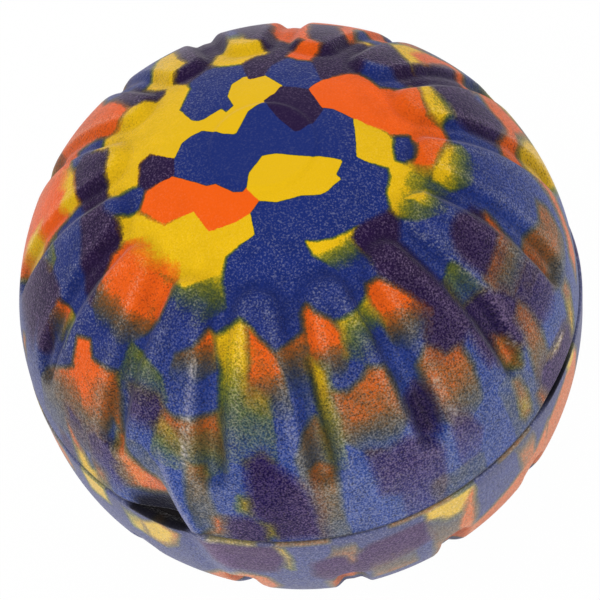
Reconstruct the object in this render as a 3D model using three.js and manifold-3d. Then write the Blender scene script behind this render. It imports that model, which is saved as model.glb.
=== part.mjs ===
// A foam-covered fetch ball for dogs, in millimetres, +Z up, with its origin at the ball's centre.
// Two moulded foam covers meet in a seam round the equator and are glued to a hollow rubber core,
// whose own two halves are cemented on an upright plane so that the two joints never line up.
import * as THREE from "three";
import { mergeVertices } from "three/addons/utils/BufferGeometryUtils.js";
import Module from "manifold-3d";

// Overall sizes
const BALL_DIAMETER = 90; // across the seam
const COVER_THICKNESS = 7; // foam, from the plain ball's face inwards
const CORE_WALL = 4;
const BOND_THICKNESS = 0.4; // every layer of adhesive or cement
const CLEARANCE = 0.3; // between any two neighbouring pieces

// Moulded relief of a cover, angles measured from its pole
const LOBE_COUNT = 15;
const LOBE_RISE = 0.75; // crest of a lobe above the plain ball
const LOBE_HEAD_ANGLE = 35.5; // centre of a lobe's round head
const GROOVE_DEPTH = 0.55; // groove floor and polar cap below the plain ball
const GROOVE_WIDTH = 4.2; // between the middles of the two walls
const GROOVE_END_ANGLE = 73; // where the round lower end of a groove stops
const GROOVE_HEADING = 2.7; // turn of the whole pattern about Z
const WALL_SLOPE = 2; // run of a lobe's rounded side
const FADE_START_ANGLE = 66; // from here the crests sink towards the seam
const FADE_END_ANGLE = 88;

// Flat round pad at each pole
const PAD_DIAMETER = 16;
const PAD_RISE = 0.5;
const PAD_BEVEL = 0.6;

// Rim of a cover at the seam
const LIP_WIDTH = 1.6; // outer lip that hides the seam bond
const LIP_ROUND = 0.6;

// Fineness of the facets
const STEPS_PER_LOBE = 6;
const FACE_STEPS = 21; // rings from the polar pad to the lip
const ROUND_STEPS = 3;
const SHELL_SECTORS = 36; // round the smooth inner shells
const SHELL_RINGS = 9; // from pole to seam on the smooth inner shells
const MERGE_DISTANCE = 1e-3;

// Radii that follow from the sizes
const ballRadius = BALL_DIAMETER / 2;
const coverInner = ballRadius - COVER_THICKNESS;
const bondOuter = coverInner - CLEARANCE;
const bondInner = bondOuter - BOND_THICKNESS;
const coreOuter = bondInner - CLEARANCE;
const coreInner = coreOuter - CORE_WALL;
const halfGap = CLEARANCE / 2;
const bondHalfRoom = BOND_THICKNESS / 2 + CLEARANCE; // half the slot that holds a layer of adhesive
const lipInner = ballRadius - LIP_WIDTH;

// Pad places on the sunken polar cap
const capRadius = ballRadius - GROOVE_DEPTH;
const padFootRadius = PAD_DIAMETER / 2 + PAD_BEVEL;
const padFootAngle = Math.asin(padFootRadius / capRadius);
const padHeight = capRadius * Math.cos(padFootAngle) + PAD_RISE;

// Lobe and groove places, as arc lengths from the pole over the plain ball
const lobePitch = (2 * Math.PI) / LOBE_COUNT;
const lobeHeadAngle = THREE.MathUtils.degToRad(LOBE_HEAD_ANGLE);
const lobeHeadCentre = ballRadius * lobeHeadAngle;
const lobeHeadRadius = (ballRadius * Math.sin(lobeHeadAngle) * lobePitch) / 2 - GROOVE_WIDTH / 2;
const grooveEndCentre = ballRadius * THREE.MathUtils.degToRad(GROOVE_END_ANGLE) - GROOVE_WIDTH / 2;
const fadeStart = THREE.MathUtils.degToRad(FADE_START_ANGLE);
const fadeEnd = THREE.MathUtils.degToRad(FADE_END_ANGLE);

const { smoothstep, euclideanModulo } = THREE.MathUtils;
const wasm = await Module();
wasm.setup();

function toSolid(geometry) {
  const bare = geometry.clone();
  bare.deleteAttribute("normal");
  bare.deleteAttribute("uv");
  const merged = mergeVertices(bare, MERGE_DISTANCE);
  const vertProperties = merged.attributes.position.array;
  const triVerts = new Uint32Array(merged.index.array);
  return new wasm.Manifold(new wasm.Mesh({ numProp: 3, vertProperties, triVerts }));
}

function toGeometry(solid) {
  const { vertProperties, triVerts } = solid.getMesh();
  const geometry = new THREE.BufferGeometry();
  geometry.setAttribute("position", new THREE.BufferAttribute(vertProperties, 3));
  geometry.setIndex(new THREE.BufferAttribute(triVerts, 1));
  geometry.computeVertexNormals();
  return geometry;
}

// A turned body about Z from [radius, height] points
function turned(points, sectors) {
  const profile = points.map(([radius, height]) => new THREE.Vector2(radius, height));
  return new THREE.LatheGeometry(profile, sectors).rotateX(Math.PI / 2);
}

// Points of a pole-to-seam arc that ends at the given height above the seam plane
function meridian(radius, endHeight, steps) {
  const endAngle = Math.acos(endHeight / radius);
  const points = [];
  for (let i = 0; i <= steps; i++) {
    const angle = (endAngle * i) / steps;
    points.push([radius * Math.sin(angle), radius * Math.cos(angle)]);
  }
  return points;
}

// A closed ring of rectangular section, centred on the plane of its layer
function flatRing(inner, outer, thickness, sectors) {
  const top = thickness / 2;
  const corners = [
    [inner, -top],
    [outer, -top],
    [outer, top],
    [inner, top],
    [inner, -top],
  ];
  return turned(corners, sectors);
}

// How far the moulded face stands off the plain ball, at an angle from the pole and a heading
function relief(angle, heading) {
  const turn = euclideanModulo(heading + lobePitch / 2, lobePitch);
  const fromGroove = Math.abs(turn - lobePitch / 2);
  const across = ballRadius * Math.sin(angle) * fromGroove;
  const fromCrest = (ballRadius * Math.sin(angle) * lobePitch) / 2 - across;
  const along = ballRadius * angle;
  const pastEnd = Math.max(0, along - grooveEndCentre);
  const insideHead = lobeHeadRadius - Math.hypot(fromCrest, lobeHeadCentre - along);
  const outsideGroove = Math.hypot(across, pastEnd) - GROOVE_WIDTH / 2;
  const inside = along < lobeHeadCentre ? insideHead : outsideGroove;
  const lobe = smoothstep(inside, -WALL_SLOPE / 2, WALL_SLOPE / 2);
  const crest = LOBE_RISE * (1 - smoothstep(angle, fadeStart, fadeEnd));
  return (GROOVE_DEPTH + crest) * lobe - GROOVE_DEPTH;
}

// The outside of a cover as a solid dome: pad, relief face and rounded lip
function coverDome() {
  const lipCentreHeight = halfGap + LIP_ROUND;
  const lipCentreRadius = Math.sqrt(ballRadius ** 2 - lipCentreHeight ** 2) - LIP_ROUND;
  const faceEnd = Math.acos(lipCentreHeight / ballRadius);
  const points = [[0, padHeight]];
  points.push([PAD_DIAMETER / 2, padHeight]);
  for (let i = 0; i <= FACE_STEPS; i++) {
    const angle = padFootAngle + ((faceEnd - padFootAngle) * i) / FACE_STEPS;
    points.push([ballRadius * Math.sin(angle), ballRadius * Math.cos(angle)]);
  }
  for (let i = 1; i <= ROUND_STEPS; i++) {
    const turn = (Math.PI / 2) * (i / ROUND_STEPS);
    const radius = lipCentreRadius + LIP_ROUND * Math.cos(turn);
    points.push([radius, lipCentreHeight - LIP_ROUND * Math.sin(turn)]);
  }
  points.push([0, halfGap]);
  const dome = turned(points.reverse(), LOBE_COUNT * STEPS_PER_LOBE);
  const position = dome.attributes.position;
  const point = new THREE.Vector3();
  for (let i = 0; i < position.count; i++) {
    point.fromBufferAttribute(position, i);
    const onFace = Math.abs(point.length() - ballRadius) < MERGE_DISTANCE;
    if (onFace) {
      const angle = Math.acos(point.z / point.length());
      point.setLength(ballRadius + relief(angle, Math.atan2(point.y, point.x)));
      position.setXYZ(i, point.x, point.y, point.z);
    }
  }
  return dome;
}

// The hollow of a cover: the core's room, and the slot behind the lip for the seam bond
function coverHollow() {
  const below = halfGap - COVER_THICKNESS;
  const points = meridian(coverInner, bondHalfRoom, SHELL_RINGS);
  points.push([lipInner, bondHalfRoom]);
  points.push([lipInner, below]);
  points.push([0, below]);
  return turned(points.reverse(), SHELL_SECTORS);
}

function cover() {
  return toGeometry(toSolid(coverDome()).subtract(toSolid(coverHollow())));
}

function coverBond() {
  const outside = meridian(bondOuter, halfGap, SHELL_RINGS);
  const inside = meridian(bondInner, halfGap, SHELL_RINGS);
  return turned([...inside, ...outside.reverse()], SHELL_SECTORS);
}

// One half of the hollow core, on the +Y side of the joint plane
function coreHalf() {
  const outside = new THREE.SphereGeometry(coreOuter, SHELL_SECTORS, 2 * SHELL_RINGS).rotateX(Math.PI / 2);
  const inside = new THREE.SphereGeometry(coreInner, SHELL_SECTORS, 2 * SHELL_RINGS).rotateX(Math.PI / 2);
  const reach = BALL_DIAMETER;
  const side = new THREE.BoxGeometry(reach, reach, reach).translate(0, bondHalfRoom + reach / 2, 0);
  return toGeometry(toSolid(outside).subtract(toSolid(inside)).intersect(toSolid(side)));
}

const coverFoam = new THREE.MeshStandardMaterial({ color: 0x35447f, roughness: 0.85, metalness: 0 });
const coreRubber = new THREE.MeshStandardMaterial({ color: 0x2d2a2b, roughness: 0.7, metalness: 0 });
const adhesive = new THREE.MeshStandardMaterial({ color: 0xc9b277, roughness: 0.45, metalness: 0 });
const cement = new THREE.MeshStandardMaterial({ color: 0x6a5f4e, roughness: 0.6, metalness: 0 });

function piece(name, geometry, material) {
  const mesh = new THREE.Mesh(geometry, material);
  mesh.name = name;
  return mesh;
}

// The lower cover and its bond are the upper ones turned over about a groove, so the grooves line up.
const upperCover = piece("upper_cover", cover(), coverFoam);
const lowerCover = piece("lower_cover", cover(), coverFoam);
lowerCover.rotation.x = Math.PI;
const upperCoverBond = piece("upper_cover_bond", coverBond(), adhesive);
const lowerCoverBond = piece("lower_cover_bond", coverBond(), adhesive);
lowerCoverBond.rotation.x = Math.PI;

const seamRing = flatRing(coverInner, lipInner - CLEARANCE, BOND_THICKNESS, LOBE_COUNT * STEPS_PER_LOBE);
const coverSeamBond = piece("cover_seam_bond", seamRing, adhesive);

const coreRearHalf = piece("core_rear_half", coreHalf(), coreRubber);
const coreFrontHalf = piece("core_front_half", coreHalf(), coreRubber);
coreFrontHalf.rotation.z = Math.PI;

const jointRing = flatRing(coreInner, coreOuter, BOND_THICKNESS, SHELL_SECTORS);
const coreJointCement = piece("core_joint_cement", jointRing, cement);
coreJointCement.rotation.x = Math.PI / 2;

const core = new THREE.Group();
core.add(coreRearHalf, coreFrontHalf, coreJointCement);

const covers = new THREE.Group();
covers.add(upperCover, lowerCover, upperCoverBond, lowerCoverBond, coverSeamBond);

const ball = new THREE.Group();
ball.rotation.z = THREE.MathUtils.degToRad(GROOVE_HEADING);
ball.add(covers, core);

const dogBall = new THREE.Group();
dogBall.add(ball);

export default dogBall;
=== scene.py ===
"""A marbled foam fetch ball for dogs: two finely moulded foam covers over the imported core."""
import math
from functools import partialmethod

import bpy
import numpy as np
from mathutils import Matrix, Vector


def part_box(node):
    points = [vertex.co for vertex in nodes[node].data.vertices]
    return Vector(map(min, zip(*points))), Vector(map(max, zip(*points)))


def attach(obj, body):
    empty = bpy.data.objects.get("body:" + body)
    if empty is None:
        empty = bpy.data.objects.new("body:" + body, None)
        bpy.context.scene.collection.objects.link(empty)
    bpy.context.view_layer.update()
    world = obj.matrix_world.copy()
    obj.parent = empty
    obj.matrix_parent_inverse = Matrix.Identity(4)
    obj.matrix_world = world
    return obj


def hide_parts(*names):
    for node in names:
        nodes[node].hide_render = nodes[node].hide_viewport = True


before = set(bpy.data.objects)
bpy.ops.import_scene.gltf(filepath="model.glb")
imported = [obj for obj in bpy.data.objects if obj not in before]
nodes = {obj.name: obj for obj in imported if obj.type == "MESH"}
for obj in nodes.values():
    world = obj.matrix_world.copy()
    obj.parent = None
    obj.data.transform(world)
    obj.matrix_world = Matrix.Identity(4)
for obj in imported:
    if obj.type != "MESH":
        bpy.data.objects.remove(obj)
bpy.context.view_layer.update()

MM = 0.001

# Sizes taken from the frame, in millimetres
cover_low, cover_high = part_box("upper_cover")
seam_bond_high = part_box("cover_seam_bond")[1] / MM
cover_bond_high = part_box("upper_cover_bond")[1] / MM
BALL_RADIUS = (cover_high.x - cover_low.x) / 2 / MM
PAD_HEIGHT = cover_high.z / MM
CLEARANCE = 0.3
COVER_INNER = cover_bond_high.x + CLEARANCE
LIP_INNER = seam_bond_high.x + CLEARANCE
SLOT_HALF = seam_bond_high.z + CLEARANCE

# Moulded relief of a cover, as in the solids: millimetres, and degrees from the cover's pole
LOBE_COUNT = 15
LOBE_RISE = 0.75
LOBE_HEAD_ANGLE = 35.5
GROOVE_DEPTH = 0.55
GROOVE_WIDTH = 4.2
GROOVE_END_ANGLE = 73
GROOVE_HEADING = 2.7
WALL_SLOPE = 2.0
FADE_ANGLES = (66, 88)
PAD_ROUND = (8.0, 8.8)  # edge and foot of the polar pad
PAD_LIMIT = 45  # the pad's plane is followed no further
SEAM_ANGLE = 90

# Foam that only the fine covers show. Of a pair by cover, the lower one's value comes first.
TRENCH_DEPTH = 0.1  # extra sink round the foot of a lobe
TRENCH_WIDTH = 0.9
GROOVE_FILL = 0.3  # share by which the grooves are shallower half way down
FOAM_WAVE = 0.16  # slow unevenness of the moulded skin
FOAM_WAVE_SIZE = 22
FOAM_WAVE_SEED = (12, 11)
WAVE_COUNT = 14
WAVE_PHASE = 6.3
LIP_ROUND = (0.35, 0.6)
LIP_TURNS = (22.5, 45, 67.5, 90)
LIP_FLAT = 0.6  # least width of the rim's flat
SLOT_STEP = 0.1
LOWER_LIP_PROUD = 0.12
SEAM_HALF = 0.14  # half the seam's usual gap
RIM_WAVE = (0.04, 0.06)
RIM_WAVE_SIZE = 12
RIM_WAVE_SEED = (21, 22)

# What is bent on this one ball: a ridge with a dent to its left, a fold below, and a seam open at the right.
# A start is a heading and an angle, and a lean is degrees of heading for each degree towards the seam.
RIDGE_START = (-130, 66)
RIDGE_LEAN = 6.5 / 24
RIDGE_RISE = 0.45
DENT_DEPTH = 2.4
DENT_ANGLES = (68, 88)
DENT_LIFT = 0.1  # of the rim over the dent
POCKET_BROW = 80
POCKET_BROW_SLOPE = 0.5  # degrees for each millimetre from the ridge, up to a reach
POCKET_BROW_REACH = 12
POCKET_PLACE = (-0.0276, -0.0317, 0.0)  # in metres
FOLD_START = (-119, 70)
FOLD_LEAN = -0.2
FOLD_RISE = 0.4
FOLD_SINK_SHARE = 0.8
GAPE_HEADINGS = ((-47, 9), (-33, 15))
GAPE_LIFT = 0.75

# Fineness of the cover meshes
FINE_COUNT = 720
RING_STEP = 0.535
COUNT_STEPS = ((9, 90), (18, 180), (38, 360), (91, FINE_COUNT))  # vertices round a ring, up to an angle
BEND_ANGLE = 82  # from here the rings follow the rim
EDGE_ANGLE = 89.5  # that stands for the whole rim
INNER_STEP = 5
INNER_END = 89

# Camera, as the photograph was taken
VIEW_TILT = 35.25  # degrees between the ball's axis and the line of sight
VIEW_ROLL = 13.65
VIEW_DISTANCE = 0.811
LENS = 301.7
SENSOR = 36.0
IMAGE_SIZE = 600
CENTRE_PIXEL = (301.4, 305.8)  # middle of the ball in the photograph

# Lamps: name, place and size in metres, watts
LAMPS = (
    ("key", (-0.7, -0.6, 1.0), 0.9, 6.5),
    ("fill", (0.9, -0.5, 0.7), 0.9, 2),
    ("back", (0.2, 1.0, 0.8), 0.8, 4),
    ("low", (0.15, -1.0, 0.1), 0.6, 1.5),
)
AMBIENT = 0.6
WHITE = (1.0, 1.0, 1.0, 1.0)
FLOOR_HALF = 3.0
FLOOR_COLOUR = (0.9, 0.9, 0.9, 1.0)
FLOOR_ROUGHNESS = 0.9
FLOOR_WHITE = 0.985  # share of plain white where the floor is seen

# Paleness, grit and shade of the skin: painted glints and sheen of the grain with some wear, and painted
# shade in hollows, creases and along the seam. A step is an amount and the angles over which it comes in.
GLINTS_AND_WEAR_BASE = 0.004
GLINTS_AND_WEAR_STEPS = ((0.017, 9, 22), (0.015, 45, 62), (0.035, 60, 80))
LOWER_PAINTED_SHEEN = 0.05
FOLD_PALENESS = 0.06
CREST_GLINTS_AND_WEAR = 0.03
FOOT_SHELTER = 0.7
FOOT_SHADE_STEPS = ((0.14, 22, 30), (0.22, 56, 66))
LOW_GRIT = 0.6
LOW_GRIT_ANGLES = (38, 78)
LEFT_GRIT = 0.35
RIM_GRIT = 0.2
# Painted highlight on the ridge beside the dent.
RIDGE_HIGHLIGHT = 0.13
CALM_HEADING = -106
CALM_SHARE = 0.6
LINE_WIDTH = 0.7
LINE_GLINTS_AND_WEAR = 0.32
LINE_SEED = 5
CREASE_WIDTH = 0.75
POCKET_SHADING = 0.95
UPPER_RIM_SHADING = 0.85
LOWER_RIM_SHADING = 0.95

# Colours in the photograph's 0 to 255 values
BLUE, STRETCHED_BLUE = (23, 41, 110), (34, 63, 138)
PURPLE, STRETCHED_PURPLE = (33, 14, 55), (22, 7, 66)
ORANGE, STRETCHED_ORANGE = (238, 92, 12), (220, 92, 20)
YELLOW = (228, 182, 12)
# The next three colours are painted shade: in the foam's pores, in hollows, creases and along the seam, and
# on the glue in the open pocket.
PORE_SHADE_COLOUR = (20, 16, 24)
PAINTED_SHADE_COLOUR = (18, 15, 20)
GLUE_POCKET_SHADE = (22, 18, 20)
RUBBER, PALE_RUBBER = (38, 36, 37), (56, 52, 52)
ADHESIVE, PALE_ADHESIVE = (176, 148, 88), (206, 183, 122)
CEMENT, PALE_CEMENT = (88, 78, 64), (116, 103, 86)

# Noises of the marbling, fine to slow: size in millimetres, detail, slope of the reach over grit, least reach
FOAM_NOISES = ((0.31, 1.0, 1.2, -0.1), (0.9, 1.0, 0.4, 0.15), (3.2, 2.0, 0.5, 0.8))

# The foam's look. Four numbers map the first two to the last two.
EDGE_SOFTNESS = ((0.4, 1.0, 0.35, 2.5), (1.0, 1.6, 0.0, 1.8))  # by grit, in millimetres, added up
PORE_SHADE_SHARE = 0.55
# Fading and haze follow the paleness: painted glints and sheen of the grain, with some wear.
WARM_FADING = ((0.02, 0.05, -0.7, 0.3), (0.06, 0.16, 0.0, 0.7))  # by wear, added up
GLINTS_AND_WEAR_HAZE = (0.96, 0.88, 1.0, 1.0)
PURPLE_HAZE = (0.85, 0.6, 0.95, 1.0)
WARM_HAZE = (1.0, 0.8, 0.55, 1.0)
BUMP_CLUMPS = 0.6
BUMP_HEIGHT = 0.17
ROUGHNESS_SLOPE = 0.12
ROUGHNESS_BASE = 0.55
SHEEN_TINT = (1.0, 0.95, 1.0, 1.0)

# Marbling
COLOURS = ("blue", "purple", "orange", "yellow")
FIELD_REACH = 5.0
FLAKE_OVERLAP = 0.2
TAIL_DEPTH = 0.7  # depth at which a feathered tail starts and ends
MARBLE_SEED = (8, 7)
TINY = 1e-9

# Random flakes where the photograph shows none: headings, angles from the pole, count
UNSEEN_LOWER = (((-14, 194), (30, 82), 150), ((-157, -18), (28, 46), 45))
UNSEEN_UPPER = (((12, 150), (46, 82), 90),)
SIDE_SHARES = (0.3, 0.28, 0.24, 0.18)  # of the colours
SIDE_DROPS = ((0.08, 0.08, 0.5, 0.85, 0.45), (0.3, 0.3, 0.7, 1, 0.65))
WAIST_LEAN = 0.6
FOOT_RIGHT, FOOT_LEFT = 0.3, 0.5
CAP_SHARES = (0.36, 0.24, 0.2, 0.2)
CAP_COUNT = 60
CAP_REACH = 32

# A flake is a colour, an outline and any fades. An outline is a row of points, two numbers each.
# The fades are the angle from the pole where its feathered tail starts, or a pair of the angle where its
# feathered top is full and that where its tail starts.
# Flakes on the upper cap, with outlines in degrees to the right and to the back of the pole
CAP_FLAKES = (
    ("yellow", (-35.4, 17.7, -33, 22.3, -27.5, 23, -25.4, 24.8, -20, 24.4, -17.8, 27.2, -22.3, 32.5,
        -19.5, 37, -18, 46, -14, 46, -12.6, 37, -11, 31.7, -14.9, 28.3, -12.5, 25.7, -12, 23.2, -15.1, 17.2,
        -13.1, 12.2, -11.6, 11, -10, 10.9, -6.4, 12.3, -5.6, 10.7, -3.6, 12.1, -4.3, 15.6, -3, 19, -0.6, 20.6,
        3.5, 19.9, 6.7, 15, 5.3, 13, 2.7, 11.3, -1.4, 9.3, -3, 6.9, -4.8, 4.6, -6.9, 5.3, -11.1, 8.4,
        -13.5, 8.2, -15.9, 7.2, -18.4, 4, -26.8, 2, -32.7, 2.4, -35, 4.8, -34.6, 7, -31.7, 14.8)),
    ("purple", (-26.8, 1.5, -25.4, 7, -23, 8.1, -21, 6, -18.4, 4, -19, 0, -25.5, -0.5)),
    ("purple", (-43, 16, -38, 20, -35.4, 17.7, -31.7, 14.8, -33, 11, -35, 6, -34.5, 0, -32, -3.8, -33, -8,
        -37, -9.8, -42.5, -14.5, -44.5, -17, -46, -13, -42, -2, -41, 4)),
    ("blue", (-34.5, 3, -32.5, 2.2, -27, 1.5, -25.6, -0.5, -27, -3.2, -28.5, -4.4, -32, -3.5, -34.8, 0)),
    ("purple", (-25, 25, -22.5, 24.3, -20, 24.5, -18.3, 25.7, -17.8, 27.2, -21, 29.8, -22.3, 32, -25, 37,
        -29.5, 37, -28.5, 33, -27, 28)),
    ("orange", (-48, 29, -40, 26.5, -36, 25, -33, 23, -30, 22.3, -27.5, 23, -25.5, 24.8, -27, 28.5, -28.5, 32,
        -31, 35.5, -32.5, 40, -33, 50, -50, 50)),
    ("blue", (-44, 26, -39, 25, -38, 21.5, -41, 20.5, -44, 21)),
    ("blue", (-31.5, 36, -28, 34, -26, 38, -30, 50, -34, 50)),
    ("purple", (-14.9, 28.3, -11, 31.8, -12.5, 37, -14, 50, -2, 50, -2.5, 36.5, -5.5, 34.3, -6.7, 31.5,
        -6, 29, -8, 28.5, -10, 27, -12.5, 25.7)),
    ("yellow", (-6.7, 31, -6, 29, -3.5, 27.3, 0.5, 26.3, 3, 27.8, 6, 28.3, 6.3, 30, 5, 33, 2.5, 35.5, 1.2, 41,
        -1, 41, -2, 36, -5, 34.3), 36),
    ("purple", (0.2, 26.2, 3, 27.9, 6, 28.4, 6.3, 30, 5, 33, 2.5, 35.5, 1.2, 41, 0, 50, 9.5, 50, 8, 40,
        9.5, 36, 12, 32, 13.5, 30.3, 9.8, 27.2, 8.7, 25.5, 5.5, 23.3, 3.5, 19.8, 0.7, 19.8, 0.2, 23)),
    ("orange", (9.3, 26.3, 10.5, 28.5, 13.6, 30.3, 12, 32.5, 9.3, 36, 8, 40, 9.5, 50, 19, 50, 16, 40,
        15.8, 33, 15.3, 31, 17.6, 28.5, 14.3, 23.7, 11.8, 24.3)),
    ("purple", (15.2, 16.5, 20, 17.8, 23.2, 18.3, 25, 21.8, 31, 19.5, 33, 16.5, 35, 15.8, 40, 16, 38, 20.5,
        35, 22.5, 34.5, 25.5, 32.5, 33, 28, 36, 23.5, 33.5, 22.8, 40, 26, 50, 19.5, 50, 16.4, 40, 15.6, 33,
        15.4, 31.5, 17.7, 28.5, 14.5, 23.5)),
    ("orange", (8, 45.5, 12, 45, 19, 44, 26, 43.5, 33, 39, 40, 44, 30, 56, 8, 58)),
    ("orange", (22.7, 41, 22.8, 35, 24, 33.2, 25.5, 34, 26.5, 40, 31, 50, 26.5, 50)),
    ("yellow", (26.8, 34.5, 28.5, 32.8, 30, 33.2, 29.8, 35, 28, 36)),
    ("yellow", (33, 33, 34.4, 26, 36, 21.5, 40, 19.8, 47, 20, 50, 34, 38, 36)),
    ("orange", (37.5, 29, 39.5, 25, 43, 21, 48, 18, 54, 22, 50, 36, 42, 34)),
    ("yellow", (35, 15.3, 35, 5, 38, 3.5, 42, 8, 41.5, 13, 38, 15.5), 40),
    ("orange", (11.6, 12.7, 15.5, 15.8, 20, 17.6, 23.2, 18.2, 25.5, 16, 27, 13.4, 31.5, 13.4, 35, 15.6, 35, 5,
        38.8, 3.4, 39.5, 0, 36, -5, 33.4, -10, 28.7, -7.8, 30, -6.8, 30.8, -3, 30.4, -0.9, 27, -1, 22.2, 1.6,
        17.4, 5.3, 15.9, 6.5, 13.4, 7.2)),
    ("purple", (2.7, 11.3, 3.3, 9, 5, 5, 7, 1.7, 7.7, 1.5, 10.5, 2.8, 13.3, 6.3, 11.6, 12.8, 9.5, 13.7,
        6.5, 14.5, 5, 12.8)),
    ("yellow", (-32, -3.7, -28, -4.4, -25.4, -7.4, -23, -10, -16.4, -9.7, -14.4, -15.3, -9, -15.3,
        -5.8, -14.3, -5.9, -19, -12.5, -21.5, -15, -24.5, -22, -25, -27, -20, -35, -15, -34, -9)),
    ("yellow", (-11, -19, -12.5, -21.5, -15, -26, -16, -31, -22, -32, -26, -27, -24, -20), 26.5),
    ("orange", (-25.6, -0.6, -19.3, -0.3, -13, -5.8, -11, -6.2, -8, -9.2, -6, -9.8, -4.8, -9.3, -3, -12,
        -5.8, -14.4, -9, -15.3, -14.4, -15.3, -16.4, -9.7, -23, -10, -25.4, -7.4, -27.7, -4.3)),
    ("orange", (-33, -9.2, -28, -11, -25, -14, -22.5, -18, -24, -22, -26.5, -25, -30, -28, -35, -28.8,
        -41, -27.5, -44.7, -24, -43.2, -17.2, -39.5, -12.5, -36.7, -9.8), (34.5, 41)),
    ("yellow", (-3.6, -6, -0.5, -2.7, 2.3, -3, 4.8, -4.2, 9, -5.8, 10, -5.5, 14.7, -7, 12.7, -10, 13.6, -11,
        10.5, -13.2, 9, -13.7, 5, -13.2, 0, -13.5, -3, -12.3, -4.8, -9.5)),
    ("yellow", (19.4, 3.3, 19, -2, 18.3, -6, 20.5, -7.5, 24.3, -9, 24.4, -11, 22.8, -15, 23, -19.5, 27, -21,
        33, -19, 36, -15, 34, -13.5, 39, -11, 39, -3, 36, -5, 33.4, -10, 29.5, -8, 25.8, -6.5, 26.5, -2,
        25.5, -0.2, 22, 1.7), 28),
    ("blue", (27.3, -1.2, 30.3, -1, 30.8, -3, 30, -6.5, 28, -7.7, 26.2, -7, 26.6, -3.5)),
    ("yellow", (4, -23, 6, -23.6, 9, -23.7, 14.7, -21.9, 15.2, -25, 15, -29, 10.5, -30, 5, -26), 24.5),
)

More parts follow.
